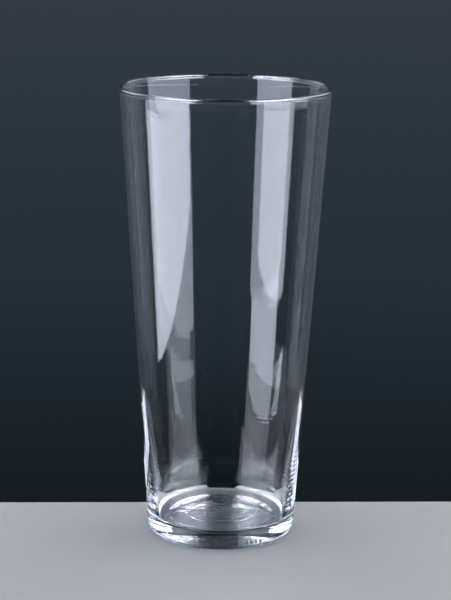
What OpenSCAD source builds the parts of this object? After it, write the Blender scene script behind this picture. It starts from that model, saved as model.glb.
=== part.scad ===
// Tall conical pint glass: one continuous piece of blown soda-lime glass.
// Origin at the middle of the base on the table, +Z up, millimetres.

/* [Overall] */
// Height from the table to the top of the rim
glass_h = 174; // [145:1:220]
// Outside diameter of the wall where its slope reaches the rim
rim_d = 80.4; // [64:0.2:100]
// Outside diameter where the wall's slope reaches the table
foot_d = 56.6; // [46:0.1:70]

/* [Wall] */
// Thickness of the wall from the rim down to where it starts to thicken
wall_t = 1.2; // [0.8:0.1:2]
// Height above the table at which the wall starts to thicken
thicken_z = 65; // [40:1:90]
// Thickness of the wall at the level of the floor
heel_t = 3.6; // [2.4:0.1:6]

/* [Base] */
// Height of the inside floor's edge above the table
floor_z = 6.3; // [4.5:0.1:10]
// Rise of the inside floor from its edge to its middle
floor_crown = 0.5; // [0.1:0.1:1.5]
// Radius between the inside floor and the wall
corner_r = 2.5; // [1:0.1:4]
// Radius of the heel, between the outside wall and the foot
heel_r = 3; // [1:0.1:4]
// Width of the flat ring that the glass stands on
ring_w = 3; // [2:0.1:6]
// Depth of the hollow under the base at its middle
push_up = 1.6; // [0.4:0.1:2.5]

/* [Rim] */
// How far the fire-polished bead round the rim stands out from each face of the wall
bead_out = 0.2; // [0.05:0.05:0.7]
// Radius by which the bead runs into each face of the wall
neck_r = 1.5; // [0.6:0.1:3]

/* [Hidden] */

// Steps in one full turn, and in each curved stretch of the profile
turn_steps = 180;
dome_steps = 8;
heel_steps = 6;
neck_steps = 3;
bead_steps = 14;
thicken_steps = 14;
corner_steps = 6;

// The wall's lean from the vertical, and its outside radius at a height
lean = atan((rim_d - foot_d) / 2 / glass_h);
function outer_r(z) = foot_d / 2 + z * tan(lean);

// Wall thickness at a height: even at the top, then growing faster and faster towards the floor
function thicker(z) = max(0, (thicken_z - z) / (thicken_z - floor_z));
function wall_at(z) = wall_t + (heel_t - wall_t) * pow(thicker(z), 2);
function inner_r(z) = outer_r(z) - wall_at(z) / cos(lean);

// A circular arc from one angle to another, as points in the plane of the profile
function arc(centre, radius, from, to, steps) = [
    for (i = [0:steps])
        let (a = from + (to - from) * i / steps)
        centre + radius * [cos(a), sin(a)]
];

// Heel: touches the table and the outside wall
heel_c = [outer_r(heel_r) - heel_r / cos(lean), heel_r];

// Hollow under the base: a shallow dome that springs from the inner edge of the flat ring
dome_edge = heel_c.x - ring_w;
dome_r = (pow(dome_edge, 2) + pow(push_up, 2)) / (2 * push_up);
dome_half = asin(dome_edge / dome_r);

// Rim bead: centred on the wall's own middle line, with its top at the glass's height
bead_r = wall_t / 2 + bead_out;
bead_c = [outer_r(glass_h - bead_r) - wall_t / 2 / cos(lean), glass_h - bead_r];
neck_drop = sqrt(pow(bead_r + neck_r, 2) - pow(wall_t / 2 + neck_r, 2));
neck_turn = atan(neck_drop / (wall_t / 2 + neck_r));
// Unit vectors across the wall, outwards, and up along it
across = [cos(lean), -sin(lean)];
along = [sin(lean), cos(lean)];
neck_out = bead_c + (wall_t / 2 + neck_r) * across - neck_drop * along;
neck_in = bead_c - (wall_t / 2 + neck_r) * across - neck_drop * along;

// Inside corner: starts where the wall has this slope, and ends level with the floor's edge
corner_slope = atan((inner_r(floor_z + corner_r) - inner_r(floor_z)) / corner_r);
corner_z = floor_z + corner_r * (1 - sin(corner_slope));
corner_c = [inner_r(corner_z) - corner_r * cos(corner_slope), floor_z + corner_r];

// Inside floor: a slight crown over the whole of its width
crown_r = (pow(corner_c.x, 2) + pow(floor_crown, 2)) / (2 * floor_crown);
crown_half = asin(corner_c.x / crown_r);

// Half of the glass's section, anticlockwise from the middle of the underside
profile = concat(
    arc([0, push_up - dome_r], dome_r, 90, 90 - dome_half, dome_steps),
    arc(heel_c, heel_r, -90, -lean, heel_steps),
    arc(neck_out, neck_r, 180 - lean, 180 - lean - neck_turn, neck_steps),
    arc(bead_c, bead_r, -lean - neck_turn, 180 - lean + neck_turn, bead_steps),
    arc(neck_in, neck_r, neck_turn - lean, -lean, neck_steps),
    [
        for (i = [0:thicken_steps])
            let (z = thicken_z + (corner_z - thicken_z) * i / thicken_steps)
            [inner_r(z), z]
    ],
    arc(corner_c, corner_r, -corner_slope, -90, corner_steps),
    arc([0, floor_z + floor_crown - crown_r], crown_r, 90 - crown_half, 90, dome_steps)
);

module glass() {
    color([0.86, 0.91, 0.94, 0.35])
        rotate_extrude($fn = turn_steps)
            polygon(profile);
}

glass();
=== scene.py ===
import math

import bpy
from mathutils import Matrix, Vector, noise


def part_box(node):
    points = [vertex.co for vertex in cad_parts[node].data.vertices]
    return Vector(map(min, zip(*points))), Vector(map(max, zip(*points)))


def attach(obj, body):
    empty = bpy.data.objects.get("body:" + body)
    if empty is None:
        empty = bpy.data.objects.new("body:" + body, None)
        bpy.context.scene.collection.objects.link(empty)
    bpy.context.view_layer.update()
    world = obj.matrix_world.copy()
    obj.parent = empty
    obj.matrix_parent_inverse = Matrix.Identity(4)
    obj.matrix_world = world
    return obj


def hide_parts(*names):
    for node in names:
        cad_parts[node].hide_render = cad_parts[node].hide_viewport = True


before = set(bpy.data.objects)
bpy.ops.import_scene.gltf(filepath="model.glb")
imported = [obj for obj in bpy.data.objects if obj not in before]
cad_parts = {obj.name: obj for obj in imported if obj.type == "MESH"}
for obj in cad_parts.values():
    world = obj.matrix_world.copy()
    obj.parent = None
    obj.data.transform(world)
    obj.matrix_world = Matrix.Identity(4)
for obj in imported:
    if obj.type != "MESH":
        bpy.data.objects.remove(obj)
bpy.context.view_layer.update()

# ---- Camera ----
# A long lens a little above the rim looks down into the mouth, as a drinker across a bar would.
# The picture is 451 wide and 600 high, so the sensor's 36 mm are its upright side.
sensor_side = 36.0
lens_length = 128.298
camera_distance = 0.8011
camera_height = 0.2737
camera_down = math.radians(12.8)
camera_roll = math.radians(0.69)
camera_shift = 0.0038

camera_data = bpy.data.cameras.new("camera")
camera_data.sensor_width = sensor_side
camera_data.lens = lens_length
camera_data.shift_x = camera_shift
camera_data.clip_start = 0.01
camera = bpy.data.objects.new("camera", camera_data)
bpy.context.scene.collection.objects.link(camera)
look = Matrix.Rotation(math.pi / 2 - camera_down, 4, "X") @ Matrix.Rotation(camera_roll, 4, "Z")
camera.matrix_world = Matrix.Translation((0, -camera_distance, camera_height)) @ look
bpy.context.scene.camera = camera

# ---- Tabletop ----
# A plain slab of pale laminate with softened edges. Its far edge is close behind the glass, so
# that the upper part of the glass stands against the darker room. Where the slab would be
# mirrored it is clear, and a black card seen only in mirrors takes its place: a painted dark
# reflection in the glass.
table_left, table_right = -0.225, 0.29
table_front, table_back = -0.125, 0.034
table_thick = 0.02
table_turn = math.radians(2.5)
table_edge = 0.003

bpy.ops.object.select_all(action="DESELECT")
bpy.ops.mesh.primitive_cube_add(
    size=1,
    location=((table_left + table_right) / 2, (table_front + table_back) / 2, -table_thick / 2),
    scale=(table_right - table_left, table_back - table_front, table_thick),
)
table = bpy.context.object
table.name = "tabletop"
bpy.ops.object.transform_apply(location=True, rotation=True, scale=True)
soften = table.modifiers.new("soften", "BEVEL")
soften.width = table_edge
soften.segments = 4
bpy.ops.object.modifier_apply(modifier=soften.name)
table.rotation_euler.z = table_turn
bpy.ops.object.transform_apply(location=True, rotation=True, scale=True)
bpy.ops.object.shade_smooth_by_angle(angle=math.radians(40))


def swap_in_mirrors(material, straight, mirrored):
    """Gives a surface one shader where it is seen straight, and another where it is mirrored."""
    nodes, links = material.node_tree.nodes, material.node_tree.links
    path = nodes.new("ShaderNodeLightPath")
    past_mirror = nodes.new("ShaderNodeMath")
    past_mirror.operation = "GREATER_THAN"
    past_mirror.inputs[1].default_value = 0.5
    either = nodes.new("ShaderNodeMixShader")
    links.new(path.outputs["Glossy Depth"], past_mirror.inputs[0])
    links.new(past_mirror.outputs["Value"], either.inputs["Fac"])
    links.new(straight.outputs["BSDF"], either.inputs[1])
    links.new(mirrored.outputs["BSDF"], either.inputs[2])
    links.new(either.outputs["Shader"], nodes["Material Output"].inputs["Surface"])


table_paint = bpy.data.materials.new("pale_laminate")
table_paint.use_nodes = True
nodes, links = table_paint.node_tree.nodes, table_paint.node_tree.links
paint = nodes["Principled BSDF"]
paint.inputs["Roughness"].default_value = 0.6
paint.inputs["Specular IOR Level"].default_value = 0.1
place = nodes.new("ShaderNodeTexCoord")
mottle = nodes.new("ShaderNodeTexNoise")
mottle.inputs["Scale"].default_value = 9.0
mottle.inputs["Detail"].default_value = 6.0
tone = nodes.new("ShaderNodeValToRGB")
tone.color_ramp.elements[0].color = (0.41, 0.42, 0.42, 1)
tone.color_ramp.elements[1].color = (0.45, 0.455, 0.455, 1)
links.new(place.outputs["Object"], mottle.inputs["Vector"])
links.new(mottle.outputs["Fac"], tone.inputs["Fac"])
links.new(tone.outputs["Color"], paint.inputs["Base Color"])
swap_in_mirrors(table_paint, straight=paint, mirrored=nodes.new("ShaderNodeBsdfTransparent"))
table.data.materials.append(table_paint)

# The card lies just under the slab's top, turned a little. It is black gloss only where it is
# mirrored, a painted dark reflection, so the clear walls stay clear and don't take on a grey veil
# from the pale slab.
card_left, card_right = -0.225, 0.25
card_front, card_back = -0.50, 0.040
card_depth = 0.0005
card_turn = math.radians(-10.1)

bpy.ops.object.select_all(action="DESELECT")
bpy.ops.mesh.primitive_plane_add(
    size=1,
    location=((card_left + card_right) / 2, (card_front + card_back) / 2, -card_depth),
)
card = bpy.context.object
card.name = "mirror_only_dark_card"
card.scale = (card_right - card_left, card_back - card_front, 1)
bpy.ops.object.transform_apply(location=True, rotation=True, scale=True)
card.rotation_euler.z = card_turn
bpy.ops.object.transform_apply(location=True, rotation=True, scale=True)
card.visible_camera = False
card.visible_diffuse = False
card.visible_shadow = False

# Painted dark reflection: black gloss that shows only in mirrors, where the slab is clear.
dark_reflection_paint = bpy.data.materials.new("painted_dark_reflection")
dark_reflection_paint.use_nodes = True
nodes, links = dark_reflection_paint.node_tree.nodes, dark_reflection_paint.node_tree.links
black = nodes["Principled BSDF"]
black.inputs["Base Color"].default_value = (0.004, 0.006, 0.008, 1)
black.inputs["Roughness"].default_value = 0.05
swap_in_mirrors(dark_reflection_paint, straight=nodes.new("ShaderNodeBsdfTransparent"), mirrored=black)
card.data.materials.append(dark_reflection_paint)

# ---- Studio light ----
# An overhead panel lights the slab. Softboxes in columns to the left and right are mirrored in
# the walls, and hotter ones above them in the rim. Dimmer ones further round edge the walls,
# and two low ones behind line the thick foot.
overhead_brightness = 5.6
softbox_distance = 1.5
softbox_colour = (0.82, 0.86, 1.0)

overhead = bpy.data.lights.new("overhead", "AREA")
overhead.shape = "RECTANGLE"
overhead.size, overhead.size_y = 1.2, 1.0
overhead.color = (0.93, 0.95, 1.0)
overhead.energy = overhead_brightness * math.pi * overhead.size * overhead.size_y
panel = bpy.data.objects.new("overhead", overhead)
bpy.context.scene.collection.objects.link(panel)
panel.location = (0, 0.1, 1.3)
panel.visible_camera = False
panel.visible_glossy = False
panel.visible_transmission = False


def softbox(name, inner, outer, low, high, brightness, once=False):
    """An upright rectangle of light that faces the glass between two bearings and two heights.
    Bearing 0 is the camera's side, and it grows towards the right. A box is only seen mirrored, and
    not straight through the glass. One that shows once isn't mirrored on by a second surface."""
    turn = math.radians((inner + outer) / 2)
    lamp = bpy.data.lights.new(name, "AREA")
    lamp.shape = "RECTANGLE"
    lamp.size = 2 * softbox_distance * math.tan(math.radians(abs(outer - inner) / 2))
    lamp.size_y = high - low
    lamp.color = softbox_colour
    lamp.energy = brightness * math.pi * lamp.size * lamp.size_y
    lamp.use_nodes = True
    nodes, links = lamp.node_tree.nodes, lamp.node_tree.links
    most_mirrorings = 1 if once else 31
    path = nodes.new("ShaderNodeLightPath")
    mirrored = nodes.new("ShaderNodeMath")
    mirrored.operation = "COMPARE"
    mirrored.inputs[1].default_value = (most_mirrorings + 1) / 2
    mirrored.inputs[2].default_value = most_mirrorings / 2
    links.new(path.outputs["Glossy Depth"], mirrored.inputs[0])
    links.new(mirrored.outputs["Value"], nodes["Emission"].inputs["Strength"])
    box = bpy.data.objects.new(name, lamp)
    bpy.context.scene.collection.objects.link(box)
    box.rotation_euler = (math.pi / 2, 0, turn)
    box.location = (
        math.sin(turn) * softbox_distance, -math.cos(turn) * softbox_distance, (low + high) / 2
    )
    box.visible_camera = False
    box.visible_diffuse = False


# Bearings in degrees, heights above the slab in metres, and brightness
softbox("left_high", -37, -82, -0.06, 3.0, 3.5)
softbox("left_mid", -40, -80, -0.20, -0.06, 5.2)
softbox("left_low", -40, -96, -1.1, -0.20, 4.4)
softbox("right_high", 42, 100, -0.12, 3.0, 2.7)
softbox("right_mid", 48, 102, -0.17, -0.12, 1.3)
softbox("right_low", 42, 80, -0.42, -0.17, 3.5)
softbox("side_left", -100, -165, -1.0, 1.0, 0.035)
softbox("side_right", 92, 165, -1.0, 1.0, 0.07)
softbox("rear_left", -142, -168, -0.85, -0.46, 1.7)
softbox("rear_right", 142, 168, -0.85, -0.46, 1.7)
softbox("rim_left", -34, -84, 0.60, 0.85, 18.0, once=True)
softbox("rim_right", 29, 96, 0.60, 0.85, 18.0, once=True)
softbox("top_left", -34, -84, 0.85, 3.2, 24.0)
softbox("top_right", 29, 96, 0.85, 3.2, 24.0)
softbox("sky_left", -84, -150, 0.42, 3.2, 2.0, once=True)
softbox("sky_right", 96, 150, 0.42, 3.2, 2.0, once=True)

# The room is a plain wall that grows lighter upwards.
room = bpy.data.worlds.new("room")
bpy.context.scene.world = room
room.use_nodes = True
nodes, links = room.node_tree.nodes, room.node_tree.links
backdrop = nodes["Background"]
facing = nodes.new("ShaderNodeTexCoord")
split = nodes.new("ShaderNodeSeparateXYZ")
rise = nodes.new("ShaderNodeMapRange")
rise.inputs["From Min"].default_value = -0.35
rise.inputs["From Max"].default_value = 0.05
shade = nodes.new("ShaderNodeValToRGB")
shade.color_ramp.elements[0].color = (0.004, 0.008, 0.010, 1)
shade.color_ramp.elements[1].color = (0.050, 0.060, 0.080, 1)
shade.color_ramp.elements.new(0.157).color = (0.010, 0.015, 0.020, 1)
shade.color_ramp.elements.new(0.375).color = (0.019, 0.030, 0.041, 1)
shade.color_ramp.elements.new(0.665).color = (0.034, 0.044, 0.061, 1)
links.new(facing.outputs["Generated"], split.inputs["Vector"])
links.new(split.outputs["Z"], rise.inputs["Value"])
links.new(rise.outputs["Result"], shade.inputs["Fac"])
links.new(shade.outputs["Color"], backdrop.inputs["Color"])

# Light goes through many surfaces of glass before it is lost.
cycles = bpy.context.scene.cycles
cycles.use_denoising = True
cycles.max_bounces = 32
cycles.transmission_bounces = 32
cycles.glossy_bounces = 16
cycles.transparent_max_bounces = 16
cycles.sample_clamp_indirect = 10.0
bpy.context.scene.view_settings.view_transform = "Standard"

# ---- Glass ----
# The whole vessel is one piece of clear soda-lime glass, blown into a mould: an even thin wall,
# a heavy base, and a rim cut and melted round. It stands loose on its foot ring.
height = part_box("glass")[1][2]
foot_radius = 0.0283
rim_radius = 0.0402
wall = 0.0012
thicken_from = 0.065
heel_wall = 0.0036
floor_edge = 0.0063
floor_crown = 0.0005
corner_radius = 0.0025
heel_radius = 0.003
ring_width = 0.003
push_up = 0.0016
bead_radius = 0.0008
neck_radius = 0.0015
turn_steps = 240

# The outside of the wall leans from the foot's radius to the rim's, and the bead stands a little
# further out than that.
lean = math.atan2(rim_radius - foot_radius, height)
lean_degrees = math.degrees(lean)


def outer(z):
    """Outside radius of the wall at a height."""
    return foot_radius + z * math.tan(lean)


def inner(z):
    """Inside radius of the wall at a height: the wall grows thicker and thicker towards the floor."""
    share = max(0.0, (thicken_from - z) / (thicken_from - floor_edge))
    return outer(z) - (wall + (heel_wall - wall) * share**2) / math.cos(lean)


# The section through one side is drawn from the middle of the underside to the middle of the
# inside floor. A lone vertex starts it.
bpy.ops.object.select_all(action="DESELECT")
bpy.ops.mesh.primitive_plane_add(size=0.001, location=(0, 0, push_up))
glass = bpy.context.object
glass.name = "blown_glass"
bpy.ops.object.transform_apply(location=True, rotation=True, scale=True)
bpy.ops.object.mode_set(mode="EDIT")
bpy.ops.mesh.select_mode(type="VERT")
bpy.ops.mesh.select_all(action="SELECT")
bpy.ops.mesh.merge(type="CENTER")
tip = Vector((0, 0, push_up))


def run(x, z, steps=1):
    """Draws the section on in a straight line to a radius and a height."""
    global tip
    step = (Vector((x, 0, z)) - tip) / steps
    for _ in range(steps):
        bpy.ops.mesh.extrude_region_move(TRANSFORM_OT_translate={"value": step})
    tip = Vector((x, 0, z))


def swing(x, z, degrees, steps):
    """Draws the section on in an arc about a centre. Positive degrees turn anticlockwise."""
    global tip
    centre = Vector((x, 0, z))
    bpy.ops.mesh.spin(
        steps=steps, angle=math.radians(degrees), center=centre, axis=(0, 1, 0), use_auto_merge=False
    )
    tip = centre + Matrix.Rotation(-math.radians(degrees), 3, "Y") @ (tip - centre)


# Hollow under the base, flat foot ring and rounded heel
heel_x = outer(heel_radius) - heel_radius / math.cos(lean)
hollow_edge = heel_x - ring_width
hollow_radius = (hollow_edge**2 + push_up**2) / (2 * push_up)
swing(0, push_up - hollow_radius, -math.degrees(math.asin(hollow_edge / hollow_radius)), 56)
run(heel_x, 0, 3)
swing(heel_x, heel_radius, 90 - lean_degrees, 12)

# Straight outside wall, and the bead with a small hollow curve on each side of it
bead_z = height - bead_radius
bead_x = outer(bead_z) - wall / 2 / math.cos(lean)
neck_reach = wall / 2 + neck_radius
neck_drop = math.sqrt((bead_radius + neck_radius) ** 2 - neck_reach**2)
neck_turn = math.degrees(math.atan2(neck_drop, neck_reach))
across = Vector((math.cos(lean), 0, -math.sin(lean)))
along = Vector((math.sin(lean), 0, math.cos(lean)))
bead = Vector((bead_x, 0, bead_z))
neck_outside = bead + across * neck_reach - along * neck_drop
neck_inside = bead - across * neck_reach - along * neck_drop
start = neck_outside - across * neck_radius
run(start.x, start.z, 50)
swing(neck_outside.x, neck_outside.z, -neck_turn, 4)
swing(bead.x, bead.z, 180 + 2 * neck_turn, 24)
swing(neck_inside.x, neck_inside.z, -neck_turn, 4)

# Inside wall, its thicker foot, the rounded corner and the crowned floor
run(inner(thicken_from), thicken_from, 40)
slope = math.atan((inner(floor_edge + corner_radius) - inner(floor_edge)) / corner_radius)
corner_z = floor_edge + corner_radius * (1 - math.sin(slope))
ripple_top = 0.045
for high, low, steps in ((thicken_from, ripple_top, 10), (ripple_top, corner_z, 110)):
    for i in range(1, steps + 1):
        z = high + (low - high) * i / steps
        run(inner(z), z)
corner_x = inner(corner_z) - corner_radius * math.cos(slope)
swing(corner_x, floor_edge + corner_radius, -(90 - math.degrees(slope)), 10)
crown_radius = (corner_x**2 + floor_crown**2) / (2 * floor_crown)
swing(0, floor_edge + floor_crown - crown_radius, math.degrees(math.asin(corner_x / crown_radius)), 85)

# The section is spun into the vessel, and the doubled points on the axis are joined.
bpy.ops.mesh.select_all(action="SELECT")
bpy.ops.mesh.spin(steps=turn_steps, angle=2 * math.pi, center=(0, 0, 0), axis=(0, 0, 1))
bpy.ops.mesh.select_all(action="SELECT")
bpy.ops.mesh.remove_doubles(threshold=0.00001)
bpy.ops.mesh.normals_make_consistent(inside=False)
bpy.ops.object.mode_set(mode="OBJECT")
bpy.ops.object.shade_smooth()


def bump(x, width):
    """A smooth rise and fall about nought, one high and about as wide as given."""
    return math.exp(-((x / width) ** 2))


def fade(x, low, high):
    """Nought below low, one above high, and smooth between."""
    share = min(1.0, max(0.0, (x - low) / (high - low)))
    return share * share * (3 - 2 * share)


def wave(place, size, seed):
    """Even random hills of about the given size, from -1 to 1."""
    return noise.noise(place / size + Vector((seed, 0, 0)))


# The marks that blowing leaves are moved into the surface. The floor has turned rings, fine
# grooves, chill wrinkles and the small curl where the gather was sheared off. The lower inside
# wall is rippled, the walls are a little wavy, and the hollow under the base is wrinkled.
hollow_top = 0.0025
floor_bottom = 0.0045
marked_floor = 0.0252
floor_rings = (
    (0.0244, 0.00045, -0.00016),
    (0.0214, 0.00040, -0.00014),
    (0.0206, 0.00040, 0.00008),
    (0.0146, 0.00045, -0.00010),
    (0.0138, 0.00040, 0.00007),
    (0.0110, 0.00035, -0.00006),
)
groove_centre = Vector((-0.0004, 0.0003, 0))
groove_pitch = 0.00115
groove_depth = 0.00006
fold_height = 0.00022
fold_stretch = 1.6
pucker_height = 0.00010
shear_mark = Vector((-0.006, 0.007, 0))
shear_height = 0.00020
curl_start = 0.0009
curl_growth = 0.00022
ripple_pitch = 0.0018
ripple_depth = 0.000022
inside_waviness = 0.00003
outside_waviness = 0.00004
plain_rim = 0.004


def hollow_marks(place, radius):
    """Height of the wrinkles in the hollow under the base, which stop short of the foot ring."""
    free = 1 - fade(radius, hollow_edge - 0.006, hollow_edge - 0.0005)
    broad = 0.00009 * abs(wave(place, 0.009, seed=3))
    fine = 0.00002 * abs(wave(place, 0.003, seed=4))
    return free * (broad + fine)


def floor_marks(place, radius):
    """Height of the marks on the inside floor, which fade out before the rounded corner."""
    flat = Vector((place.x, place.y, 0))
    rings = sum(deep * bump(radius - at, wide) for at, wide, deep in floor_rings)
    drift = Vector((wave(place, 0.012, seed=5), wave(place, 0.012, seed=6), 0)) * 0.0006
    swirl = (flat - groove_centre + drift).length
    reach = fade(swirl, 0.004, 0.006) * (1 - fade(swirl, 0.0135, 0.016))
    right = fade(place.x, -0.004, 0.006)
    turned = math.sin(2 * math.pi * swirl / groove_pitch)
    grooves = groove_depth * reach * (0.35 + 0.65 * right) * turned
    chilled = fade(place.y - place.x, -0.004, 0.010) * (1 - fade(radius, 0.0185, 0.0215))
    folds = abs(wave(Vector((place.x, place.y * fold_stretch, 0)), 0.0042, seed=7))
    wrinkles = chilled * (fold_height * folds + pucker_height * wave(place, 0.0019, seed=8))
    around = flat - shear_mark
    angle = math.atan2(around.y, around.x)
    curl = around.length - curl_start - curl_growth * (angle + math.pi)
    shear = shear_height * bump(curl, 0.00028) * (1 - fade(around.length, 0.0022, 0.0034))
    return (rings + grooves + wrinkles + shear) * (1 - fade(radius, 0.0246, marked_floor))


def inside_marks(place):
    """How far the inside wall is moved outwards: fine ripples low down at the sides, and slow
    waves all the way up."""
    low_down = 1 - fade(place.z, 0.018, 0.040)
    at_sides = (0.6 + 0.8 * wave(place, 0.014, seed=10)) * fade(abs(place.x), 0.019, 0.025)
    strength = ripple_depth * low_down * fade(place.z, 0.009, 0.013) * at_sides
    phase = 5 * wave(place, 0.030, seed=9) + 1.2 * math.atan2(place.y, place.x)
    ripple = strength * math.sin(2 * math.pi * place.z / ripple_pitch + phase)
    return ripple + inside_waviness * fade(place.z, 0.010, 0.020) * wave(place, 0.028, seed=11)


def outside_marks(place):
    """How far the outside wall sinks inwards in slow waves above the heel."""
    sink = 0.5 + 0.5 * wave(place, 0.034, seed=12)
    return outside_waviness * fade(place.z, 0.004, 0.012) * sink


for vertex in glass.data.vertices:
    place = vertex.co.copy()
    flat = Vector((place.x, place.y, 0))
    radius = flat.length
    if radius < 1e-6:
        continue
    outward = flat / radius
    middle_wall = (inner(place.z) + outer(place.z)) / 2
    on_floor = floor_bottom < place.z < floor_edge + corner_radius * 0.6
    on_wall = place.z < height - plain_rim
    if place.z < hollow_top and radius < hollow_edge:
        vertex.co.z += hollow_marks(place, radius)
    elif on_floor and radius < marked_floor:
        vertex.co.z += floor_marks(place, radius)
    elif on_wall and radius < middle_wall:
        vertex.co += outward * inside_marks(place)
    elif on_wall and radius > middle_wall:
        vertex.co -= outward * outside_marks(place)

bpy.ops.object.mode_set(mode="EDIT")
bpy.ops.mesh.select_all(action="SELECT")
bpy.ops.mesh.normals_make_consistent(inside=False)
bpy.ops.object.mode_set(mode="OBJECT")

# Fine marks in the surface that are too small for the mesh. A faint orange peel and drawn lines
# from the turning mould give the height, and slow cords in the melt give the tint.
marks = bpy.data.node_groups.new("melt_marks", "ShaderNodeTree")
marks.interface.new_socket("Peel size", in_out="INPUT", socket_type="NodeSocketFloat")
marks.interface.new_socket("Line depth", in_out="INPUT", socket_type="NodeSocketFloat")
marks.interface.new_socket("Pale", in_out="INPUT", socket_type="NodeSocketColor")
marks.interface.new_socket("Deep", in_out="INPUT", socket_type="NodeSocketColor")
marks.interface.new_socket("Height", in_out="OUTPUT", socket_type="NodeSocketFloat")
marks.interface.new_socket("Tint", in_out="OUTPUT", socket_type="NodeSocketColor")
nodes, links = marks.nodes, marks.links
given = nodes.new("NodeGroupInput")
result = nodes.new("NodeGroupOutput")
place = nodes.new("ShaderNodeTexCoord")
peel = nodes.new("ShaderNodeTexNoise")
peel.inputs["Detail"].default_value = 2.0
links.new(place.outputs["Object"], peel.inputs["Vector"])
links.new(given.outputs["Peel size"], peel.inputs["Scale"])
squash = nodes.new("ShaderNodeMapping")
squash.inputs["Scale"].default_value = (6.0, 6.0, 900.0)
links.new(place.outputs["Object"], squash.inputs["Vector"])
lines = nodes.new("ShaderNodeTexNoise")
lines.inputs["Scale"].default_value = 1.0
lines.inputs["Detail"].default_value = 3.0
links.new(squash.outputs["Vector"], lines.inputs["Vector"])
drawn = nodes.new("ShaderNodeMath")
drawn.operation = "MULTIPLY_ADD"
links.new(lines.outputs["Fac"], drawn.inputs[0])
links.new(given.outputs["Line depth"], drawn.inputs[1])
links.new(peel.outputs["Fac"], drawn.inputs[2])
links.new(drawn.outputs["Value"], result.inputs["Height"])
cords = nodes.new("ShaderNodeTexNoise")
cords.inputs["Scale"].default_value = 28.0
cords.inputs["Detail"].default_value = 4.0
cords.inputs["Distortion"].default_value = 1.5
links.new(place.outputs["Object"], cords.inputs["Vector"])
melt = nodes.new("ShaderNodeMix")
melt.data_type = "RGBA"
links.new(cords.outputs["Fac"], melt.inputs["Factor"])
links.new(given.outputs["Pale"], melt.inputs["A"])
links.new(given.outputs["Deep"], melt.inputs["B"])
links.new(melt.outputs["Result"], result.inputs["Tint"])


def glass_material(name, roughness, peel_size, line_depth, bump_height):
    """Clear soda-lime glass with a faint cool tint through its depth."""
    material = bpy.data.materials.new(name)
    material.use_nodes = True
    nodes, links = material.node_tree.nodes, material.node_tree.links
    body = nodes["Principled BSDF"]
    body.inputs["Transmission Weight"].default_value = 1.0
    body.inputs["IOR"].default_value = 1.52
    body.inputs["Roughness"].default_value = roughness
    grain = nodes.new("ShaderNodeGroup")
    grain.node_tree = marks
    grain.inputs["Peel size"].default_value = peel_size
    grain.inputs["Line depth"].default_value = line_depth
    grain.inputs["Pale"].default_value = (1.0, 1.0, 1.0, 1)
    grain.inputs["Deep"].default_value = (0.975, 0.988, 1.0, 1)
    relief = nodes.new("ShaderNodeBump")
    relief.inputs["Distance"].default_value = bump_height
    links.new(grain.outputs["Height"], relief.inputs["Height"])
    links.new(relief.outputs["Normal"], body.inputs["Normal"])
    links.new(grain.outputs["Tint"], body.inputs["Base Color"])
    depth = nodes.new("ShaderNodeVolumeAbsorption")
    depth.inputs["Color"].default_value = (0.70, 0.84, 0.92, 1)
    depth.inputs["Density"].default_value = 4.0
    links.new(depth.outputs["Volume"], nodes["Material Output"].inputs["Volume"])
    glass.data.materials.append(material)


glass_material("clear_glass", roughness=0.0, peel_size=180.0, line_depth=0.25, bump_height=0.00001)
glass_material("worn_foot", roughness=0.28, peel_size=900.0, line_depth=0.0, bump_height=0.00002)

# Only the foot ring touches the table and is worn matt.
touching = 0.00003
for face in glass.data.polygons:
    if face.center.z < touching and face.center.xy.length > hollow_edge - 0.0005:
        face.material_index = 1

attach(glass, "root")
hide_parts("glass")
